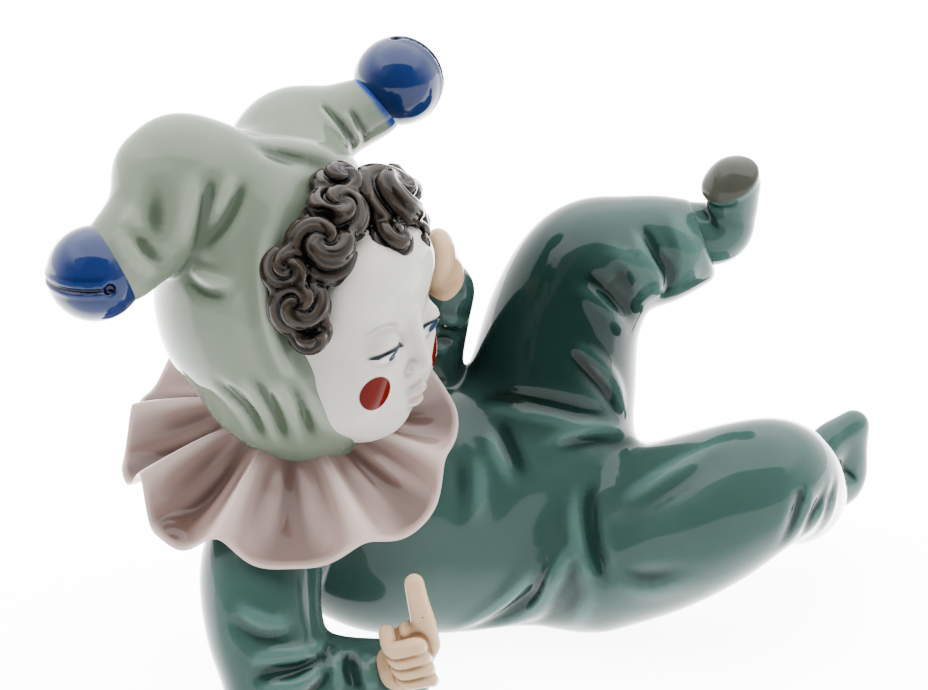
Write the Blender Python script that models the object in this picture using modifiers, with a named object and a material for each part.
"""Clown boy lying on his side: a glazed porcelain figurine, cast and fired as one piece.

Metres, +Z up. The figure lies along X with its head towards -X and its chest towards -Y. It rests
on its right forearm and right hip, on flats in one level plane. The origin is the middle of the
bottom. The pose is drawn in shares of a figure 200 shares long, and UNIT is the real size of one.
"""
import math

import bmesh
import bpy
from mathutils import Matrix, Vector
from mathutils.bvhtree import BVHTree

# Real sizes, in metres
FIGURE_LENGTH = 0.200
UNIT = FIGURE_LENGTH / 200

# Moulding: grain of the clay, rounds of smoothing, faces kept and depth of the flat underside
GRAIN = 1.2
SMOOTHING = 4
TRIANGLES = 9400
BASE_CUT = 1.0
BALL_SEGMENTS = 24
BALL_RINGS = 16
TUBE_STEPS = 5
TUBE_ROUNDNESS = 4

# Torso sections: middle x, y, z, half height, half depth. The chest leans back.
TORSO = [
    (-43, -13, 46, 23, 16),
    (-25, -5, 38.5, 31, 17.5),
    (-6, 4, 34, 32.5, 18.5),
    (12, 9, 31.5, 31, 19),
    (27, 10, 30, 29.5, 19),
]
TORSO_LEAN = math.radians(-14)
TORSO_STEPS = 6
SEAT = [(-17, 10, 15.5, 15), (2, 14, 15, 15), (20, 16, 17, 17)]

# Limbs: x, y, z and radius along the middle of each
NEAR_UPPER_ARM = [(-45, -20, 50, 13), (-49.5, -32, 39.5, 15), (-49, -40, 27, 14.5), (-45, -45, 14.5, 14)]
NEAR_FOREARM = [(-45, -45, 14, 14), (-31.5, -43, 11.5, 11.5), (-18, -41, 11, 9.5)]
FAR_ARM = [(-30, 4, 56, 12), (-20, 10, 60, 10.5), (-12, 14, 66, 9), (-8, 14, 77, 8), (-5, 12, 91, 7.5)]
RAISED_LEG = [
    (20, 18, 44, 24),
    (23, 23, 61, 22),
    (26, 27, 78, 20),
    (32.5, 30, 90.5, 18.5),
    (41.5, 30, 95, 15.5),
    (49.5, 30, 96.5, 14.3),
    (56.5, 30, 99, 10.5),
]
RAISED_SHOE = [(60, 30, 100, 7.5), (65, 30, 100.5, 8), (68, 29, 107.5, 7.3), (68.4, 28, 116.3, 7.9)]
LOW_LEG = [
    (34, 6, 23, 23),
    (48.5, 2, 29.5, 22),
    (60.5, -2, 37, 20.5),
    (71.5, -4, 44, 18),
    (80, 0, 45, 16),
    (86.5, 16, 34, 14.5),
    (92, 34, 24, 12),
]
LOW_SHOE = [(94, 40, 20, 6.5), (104.5, 50, 19, 7), (107, 52, 28, 5.5), (108.5, 52, 35.5, 3)]
LOW_INSTEP = [(97, 44, 27, 6.5), (101, 48, 33, 5), (107, 51, 36, 3.2)]

# Hands
FIST = (-12.5, -49, 24)
FIST_SIZE = (6.5, 6, 8.5)
THUMB = [(-8, -49, 28, 3), (-10.5, -49, 36, 2.7), (-11.8, -48, 42, 2.4)]
FINGER = 2.5
FINGERS = 4
KNUCKLE_STEP = 0.5
KNUCKLE_RISE = 0.8
KNUCKLE_REACH = 0.8
KNUCKLE_DEPTH = 0.3
FINGER_SLANT = 1
FINGERTIP_REACH = 0.5
FINGERTIP_DEPTH = 0.8
FINGERTIP = 0.9
RAISED_HAND = [(-5.5, 11, 94, 5), (-6.5, 9, 103, 6), (-8, 6, 111, 5)]

# Head. Its own axes run forward, to its left and up. FACE lists its masses: middle, half widths.
HEAD = (-39, -12, 101)
HEAD_TURN = math.radians(-28)
HEAD_NOD = math.radians(5)
FACE = [
    ((5, 0, -4), (27, 26, 29.5)),
    ((20, 0, 12), (11, 20, 12)),
    ((31.5, 0, -7), (4, 3, 3.2)),
    ((30, 0, -2), (3.5, 2, 6)),
    ((21, 12, -13), (9, 9, 9.5)),
    ((21, -12, -13), (9, 9, 9.5)),
    ((29, 0, -15), (3.6, 5, 2)),
    ((28, 0, -18.5), (3.6, 4, 2)),
    ((21, 0, -24), (9, 8, 7)),
]
HOOD = (-1, 0, 0)
HOOD_SIZE = (36, 34, 35)
HOOD_RIM = 12
HOOD_RIM_LEAN = math.radians(22)
NECK = [(-39.5, -14, 58, 14), (-39.5, -14, 70, 15), (-40, -13, 82, 22)]
NEAR_HORN = [
    (-51, -14, 118, 21),
    (-65, -22, 134.5, 14.8),
    (-71.5, -29, 127.5, 12),
    (-79.3, -35.5, 120.5, 10.3),
]
FAR_HORN = [(-44, -2, 126, 17), (-42.5, 10, 133, 13.5), (-33, 18, 135, 9.8), (-23, 25, 137, 8)]
BELL_RADIUS = 11.2
NEAR_BELL = (-85, -38, 118)
FAR_BELL = (-16.5, 28, 143)

# Ruff: a cone that falls from the neck to its rim. RUFF is the middle of the rim.
RUFF = (-43.5, -9.8, 60.7)
RUFF_RADIUS = 42.2
RUFF_NECK = 10
RUFF_FALL = 13.2
RUFF_TILT = math.radians(22.6)
RUFF_ROLL = math.radians(2.5)
RUFF_WALL = 2.6
RUFF_RINGS = 10

# Pleats: their height, how much higher they stand over the shoulder, and how unevenly they are spaced
PLEATS = 7
PLEAT_START = 20.67
PLEAT_SWAY = (0.58, -0.30, -0.03, 0.60)
PLEAT_HEIGHT = 2
SHOULDER_PLEATS = 4.5
PLEAT_ROUNDNESS = 1.4
PLEAT_OPENING = 0.8
PLEAT_PULL = 0.03
FALL_CURVE = 1.1
SPOKES = 24 * PLEATS

# Curls: forward, left and up from the middle of the head, and radius
CURLS = [
    (20, 3, 31, 10.5),
    (14, -9, 31, 8.5),
    (15, -18, 25.5, 10),
    (11, -25, 20.5, 7.5),
    (15, -28, 14, 8),
    (18, -27.5, 6.5, 5),
    (15, 15, 29, 9.5),
    (14, 24, 19, 8.5),
    (17, 27, 8, 7),
]
CURL_TURNS = 1.4
CURL_WIRE = 2.6
CURL_STEPS = 12
CURL_RISE = 2
CURL_START = math.radians(40)
CURL_WINDING = 0.85
CURL_SMOOTHING = 2
CURL_TAPER = 0.3
CURL_CORE = 0.8
CORE_SUNK = 0.35

# Folds: each is a ridge that follows the surface past its keys
SUIT_FOLDS = [
    [(-5, -9, 6), (6, -11, 12), (14, -11, 20), (20, -11, 29)],
    [(16, -5, 6), (20, -9, 14), (25, -14, 28), (27, -12, 36)],
    [(9, 5, 62), (12, -2, 55), (17, -6, 46)],
    [(2, -2, 58), (4, -8, 49), (2, -13, 35)],
    [(16, -3, 55), (27, 0, 59), (36, 5, 58), (43, 13, 49)],
    [(37, -10, 43), (44, -11, 48), (57, -10, 56), (69, -7, 61)],
    [(37, -17, 30), (47, -19, 28), (59, -21, 34)],
    [(78, -17, 34), (83, -18, 46), (84, -15, 53)],
    [(86, -12, 33), (87, -15, 43), (92, -8, 51)],
    [(89, 2, 27), (92, -10, 43), (94, -4, 50)],
    [(27, 7, 81), (35, 7, 73), (41, 11, 61)],
    [(24, 16, 99), (36, 13, 94), (43, 18, 84)],
    [(35, 17, 102), (43, 16, 100), (45, 16, 94), (44, 18, 86)],
    [(49, 30, 109), (53, 19, 101), (53, 19, 91)],
    [(60, 26, 108), (63, 21, 100), (61, 21, 93)],
    [(-53, -55, 24), (-46, -55, 26), (-37, -51, 25), (-33, -41, 24)],
    [(-44, -58, 20), (-38, -54, 22), (-33, -46, 24)],
    [(-28, -45, 22), (-28, -50, 19), (-27, -52, 14)],
    [(-56, -49, 38), (-48, -52, 34), (-39, -49, 32)],
    [(-9, 4, 99), (-4, 3, 98), (1, 8, 97), (2, 14, 97)],
    [(-20, 16, 58), (-12, 20, 40), (-10, 26, 18)],
    [(0, 24, 56), (4, 28, 36), (2, 29, 14)],
    [(20, 40, 56), (32, 36, 40), (36, 28, 22)],
    [(14, 42, 76), (24, 46, 66), (36, 44, 60)],
    [(30, 46, 84), (36, 47, 92), (42, 46, 98)],
]
HOOD_FOLDS = [
    [(-59, -34, 142), (-59, -36, 132), (-62, -35, 121)],
    [(-53, -32, 140), (-55, -36, 129), (-60, -35, 120)],
    [(-48, -27, 138), (-52, -35, 130), (-59, -36, 123)],
    [(-68, -36, 143), (-69, -41, 133), (-70, -42, 127)],
    [(-63, -34, 119), (-60, -34, 117), (-54, -38, 114)],
    [(-56, -21, 146), (-46, -14, 141), (-36, -11, 138), (-28, -4, 132)],
    [(-33, 9, 144), (-29, 8, 137), (-28, 12, 132)],
    [(-58, -38, 91), (-50, -40, 85), (-44, -35, 77)],
    [(-51, -43, 94), (-45, -42, 86), (-40, -34, 75)],
    [(-44, -45, 99), (-39, -44, 90), (-36, -37, 78)],
]
FOLD_WIDTH = 3.2
FOLD_SUNK = 1.6
FOLD_STEPS = 4
FOLD_ENDS = 0.45

MATERIAL = bpy.data.materials.new("porcelain")
CLAY = bpy.data.collections.new("clown_figurine")
FORMS = bpy.data.collections.new("forms")


def clear_scene():
    for item in list(bpy.data.objects):
        bpy.data.objects.remove(item)
    bpy.context.scene.collection.children.link(CLAY)
    bpy.context.scene.collection.children.link(FORMS)


def add(clay, fresh):
    mesh = bpy.data.meshes.new("form")
    fresh.to_mesh(mesh)
    fresh.free()
    clay.from_mesh(mesh)
    bpy.data.meshes.remove(mesh)


def smooth_path(rows, steps):
    """Catmull-Rom rows through the keys; each row may carry sizes after its x, y, z."""
    keys = [Vector(row) for row in rows]
    keys = [2 * keys[0] - keys[1], *keys, 2 * keys[-1] - keys[-2]]
    path = []
    for a, b, c, d in zip(keys, keys[1:], keys[2:], keys[3:]):
        for i in range(steps):
            t = i / steps
            bend = (2 * a - 5 * b + 4 * c - d) * t**2 + (3 * b - a - 3 * c + d) * t**3
            path.append((2 * b + (c - a) * t + bend) / 2)
    return path + [keys[-2]]


def ball(clay, middle, sizes, turn=Matrix()):
    """A rounded mass with three half widths."""
    fresh = bmesh.new()
    place = Matrix.Translation(middle) @ turn @ Matrix.Diagonal((*sizes, 1))
    rounds = {"u_segments": BALL_SEGMENTS, "v_segments": BALL_RINGS}
    bmesh.ops.create_uvsphere(fresh, **rounds, radius=1, matrix=place)
    add(clay, fresh)


def tube(clay, rows, steps=TUBE_STEPS):
    """A round form of changing radius along smooth keys, with a ball at each end."""
    path = smooth_path(rows, steps)
    curve = bpy.data.curves.new("form", "CURVE")
    curve.dimensions = "3D"
    curve.bevel_depth = 1
    curve.bevel_resolution = TUBE_ROUNDNESS
    curve.use_fill_caps = True
    line = curve.splines.new("POLY")
    line.points.add(len(path) - 1)
    for point, row in zip(line.points, path):
        point.co = (*row[:3], 1)
        point.radius = row[3]
    form = bpy.data.objects.new("form", curve)
    FORMS.objects.link(form)
    mesh = bpy.data.meshes.new_from_object(form.evaluated_get(bpy.context.evaluated_depsgraph_get()))
    fresh = bmesh.new()
    fresh.from_mesh(mesh)
    bmesh.ops.remove_doubles(fresh, verts=fresh.verts, dist=1e-4)
    add(clay, fresh)
    bpy.data.objects.remove(form)
    for end in (path[0], path[-1]):
        ball(clay, end[:3], [end[3]] * 3)


def torso(clay):
    lean = Matrix.Rotation(TORSO_LEAN, 4, "X")
    for x, y, z, height, depth in smooth_path(TORSO, TORSO_STEPS):
        ball(clay, (x, y, z), (depth, depth, height), lean)


def folds(clay, routes):
    """Soft ridges: tubes laid along the surface and sunk in it by over half their width."""
    skin = BVHTree.FromBMesh(clay)
    for route in routes:
        path = smooth_path(route, FOLD_STEPS)
        rows = []
        for i, key in enumerate(path):
            spot, normal, _, _ = skin.find_nearest(key)
            swell = FOLD_ENDS + (1 - FOLD_ENDS) * math.sin(math.pi * i / (len(path) - 1))
            rows.append((*(spot - FOLD_SUNK * normal), FOLD_WIDTH * swell))
        tube(clay, rows, 1)


def fist(clay):
    ball(clay, FIST, FIST_SIZE)
    tube(clay, THUMB)
    x, y, z = FIST
    wide, deep, tall = FIST_SIZE
    for i in range(FINGERS):
        level = z + tall * (KNUCKLE_RISE - 2 * KNUCKLE_RISE * i / FINGERS)
        knuckle = (x - KNUCKLE_REACH * wide + KNUCKLE_STEP * i, y - KNUCKLE_DEPTH * deep, level, FINGER)
        middle = (x, y - deep, level - FINGER_SLANT, FINGER)
        tip_level = level - 2 * FINGER_SLANT
        tip = (x + FINGERTIP_REACH * wide, y - FINGERTIP_DEPTH * deep, tip_level, FINGERTIP * FINGER)
        tube(clay, [knuckle, middle, tip])


def head_place():
    turn = Matrix.Rotation(HEAD_TURN, 4, "Z") @ Matrix.Rotation(HEAD_NOD, 4, "Y")
    return Matrix.Translation(HEAD) @ turn


def hood(clay):
    place = head_place()
    cloth = bmesh.new()
    ball(cloth, HOOD, HOOD_SIZE)
    parts = cloth.verts[:] + cloth.edges[:] + cloth.faces[:]
    rim_way = Vector((math.cos(HOOD_RIM_LEAN), 0, math.sin(HOOD_RIM_LEAN)))
    front = HOOD_RIM * rim_way
    cut = bmesh.ops.bisect_plane(cloth, geom=parts, plane_co=front, plane_no=rim_way, clear_outer=True)
    rim = [part for part in cut["geom_cut"] if isinstance(part, bmesh.types.BMEdge)]
    bmesh.ops.holes_fill(cloth, edges=rim)
    cloth.transform(place)
    add(clay, cloth)
    tube(clay, NECK)
    for horn, bell in ((NEAR_HORN, NEAR_BELL), (FAR_HORN, FAR_BELL)):
        tube(clay, horn)
        ball(clay, bell, [BELL_RADIUS] * 3)


def face(clay):
    place = head_place()
    turn = place.to_3x3().to_4x4()
    for middle, sizes in FACE:
        ball(clay, place @ Vector(middle), sizes, turn)


def curls(clay):
    """Each curl is a lock wound in a spiral that rises to its middle."""
    place = head_place()
    for forward, left, up, radius in CURLS:
        middle = Vector((forward, left, up))
        out = middle.normalized()
        along = out.cross(Vector((1, 0, 0))).normalized()
        across = along.cross(out)
        rows = []
        for i in range(CURL_STEPS + 1):
            t = i / CURL_STEPS
            reach = (radius - CURL_WIRE) * (1 - CURL_WINDING * t)
            spin = CURL_START * forward + math.tau * CURL_TURNS * t
            point = middle + reach * (math.cos(spin) * along + math.sin(spin) * across)
            point += out * CURL_RISE * t
            rows.append((*(place @ point), CURL_WIRE * (1 - CURL_TAPER * t)))
        tube(clay, rows, CURL_SMOOTHING)
        ball(clay, place @ (middle - CORE_SUNK * radius * out), [radius * CURL_CORE] * 3)


def pleated(angle, out):
    """A point of the ruff's middle layer: out runs from 0 at the neck to 1 at the rim."""
    one, two, three, four = PLEAT_SWAY
    sway = one * math.sin(angle) + two * math.cos(angle)
    sway += three * math.sin(2 * angle) + four * math.cos(2 * angle)
    wave = 1 - 2 * abs(math.sin((PLEATS * angle + PLEAT_START + sway) / 2)) ** PLEAT_ROUNDNESS
    tall = PLEAT_HEIGHT + SHOULDER_PLEATS * (0.5 - 0.5 * math.cos(angle)) ** 2
    reach = (RUFF_NECK + (RUFF_RADIUS - RUFF_NECK) * out) * (1 - PLEAT_PULL * out * (1 + wave))
    rise = RUFF_FALL * max(0, 1 - out) ** FALL_CURVE + wave * tall * out**PLEAT_OPENING
    return reach * math.cos(angle), reach * math.sin(angle), rise


def ruff(clay):
    """A pleated cone round the neck, with a wall of true thickness."""
    cloth = bmesh.new()
    bmesh.ops.create_circle(cloth, segments=SPOKES, radius=RUFF_NECK)
    edges = cloth.edges[:]
    for _ in range(RUFF_RINGS):
        grown = bmesh.ops.extrude_edge_only(cloth, edges=edges)["geom"]
        edges = [part for part in grown if isinstance(part, bmesh.types.BMEdge)]
        for vertex in {end for edge in edges for end in edge.verts}:
            vertex.co *= 1 + (RUFF_RADIUS - RUFF_NECK) / RUFF_RINGS / vertex.co.length
    for vertex in cloth.verts:
        out = max(0, vertex.co.length - RUFF_NECK) / (RUFF_RADIUS - RUFF_NECK)
        vertex.co = pleated(math.atan2(vertex.co.y, vertex.co.x), out)
    mesh = bpy.data.meshes.new("ruff")
    cloth.to_mesh(mesh)
    cloth.free()
    form = bpy.data.objects.new("ruff_form", mesh)
    FORMS.objects.link(form)
    wall = form.modifiers.new("wall", "SOLIDIFY")
    wall.thickness = RUFF_WALL
    wall.offset = 0
    solid = bpy.data.meshes.new_from_object(form.evaluated_get(bpy.context.evaluated_depsgraph_get()))
    bpy.data.objects.remove(form)
    lean = Matrix.Rotation(RUFF_TILT, 4, "X") @ Matrix.Rotation(RUFF_ROLL, 4, "Y")
    solid.transform(Matrix.Translation(RUFF) @ lean)
    clay.from_mesh(solid)


def figure():
    clay = bmesh.new()
    torso(clay)
    for limb in (SEAT, NEAR_UPPER_ARM, NEAR_FOREARM, FAR_ARM, RAISED_HAND, RAISED_LEG, RAISED_SHOE):
        tube(clay, limb)
    for limb in (LOW_LEG, LOW_SHOE, LOW_INSTEP):
        tube(clay, limb)
    folds(clay, SUIT_FOLDS)
    fist(clay)
    hood(clay)
    folds(clay, HOOD_FOLDS)
    face(clay)
    curls(clay)
    ruff(clay)
    bmesh.ops.recalc_face_normals(clay, faces=clay.faces)
    bmesh.ops.triangulate(clay, faces=clay.faces)
    mesh = bpy.data.meshes.new("clown_figurine")
    clay.to_mesh(mesh)
    clay.free()
    mesh.transform(Matrix.Scale(UNIT, 4))
    return mesh


def fire(mesh):
    """One skin over all the forms, thinned, cut flat below and set on its origin."""
    figurine = bpy.data.objects.new("clown_figurine", mesh)
    CLAY.objects.link(figurine)
    skin = figurine.modifiers.new("skin", "REMESH")
    skin.mode = "VOXEL"
    skin.voxel_size = GRAIN * UNIT
    soft = figurine.modifiers.new("soft", "SMOOTH")
    soft.iterations = SMOOTHING
    shape = bpy.data.meshes.new_from_object(figurine.evaluated_get(bpy.context.evaluated_depsgraph_get()))
    figurine.modifiers.clear()
    figurine.data = shape
    count = sum(len(polygon.vertices) - 2 for polygon in shape.polygons)
    thin = figurine.modifiers.new("thin", "DECIMATE")
    thin.ratio = TRIANGLES / count
    shape = bpy.data.meshes.new_from_object(figurine.evaluated_get(bpy.context.evaluated_depsgraph_get()))
    figurine.modifiers.clear()
    figurine.data = shape
    return figurine


def set_down(figurine):
    clay = bmesh.new()
    clay.from_mesh(figurine.data)
    parts = clay.verts[:] + clay.edges[:] + clay.faces[:]
    cut = bmesh.ops.bisect_plane(
        clay, geom=parts, dist=1e-7, plane_co=(0, 0, BASE_CUT * UNIT), plane_no=(0, 0, -1), clear_outer=True
    )
    rim = [part for part in cut["geom_cut"] if isinstance(part, bmesh.types.BMEdge)]
    bmesh.ops.holes_fill(clay, edges=rim)
    bmesh.ops.triangulate(clay, faces=clay.faces)
    low = [min(vertex.co[axis] for vertex in clay.verts) for axis in range(3)]
    high = [max(vertex.co[axis] for vertex in clay.verts) for axis in range(3)]
    shift = Vector((-(low[0] + high[0]) / 2, -(low[1] + high[1]) / 2, -low[2]))
    bmesh.ops.translate(clay, verts=clay.verts, vec=shift)
    clay.to_mesh(figurine.data)
    clay.free()


def glaze(figurine):
    MATERIAL.use_nodes = True
    shader = MATERIAL.node_tree.nodes["Principled BSDF"]
    shader.inputs["Base Color"].default_value = (0.10, 0.25, 0.21, 1)
    shader.inputs["Roughness"].default_value = 0.12
    figurine.data.materials.clear()
    figurine.data.materials.append(MATERIAL)
    figurine.data.shade_smooth()


clear_scene()
FIGURINE = fire(figure())
set_down(FIGURINE)
glaze(FIGURINE)
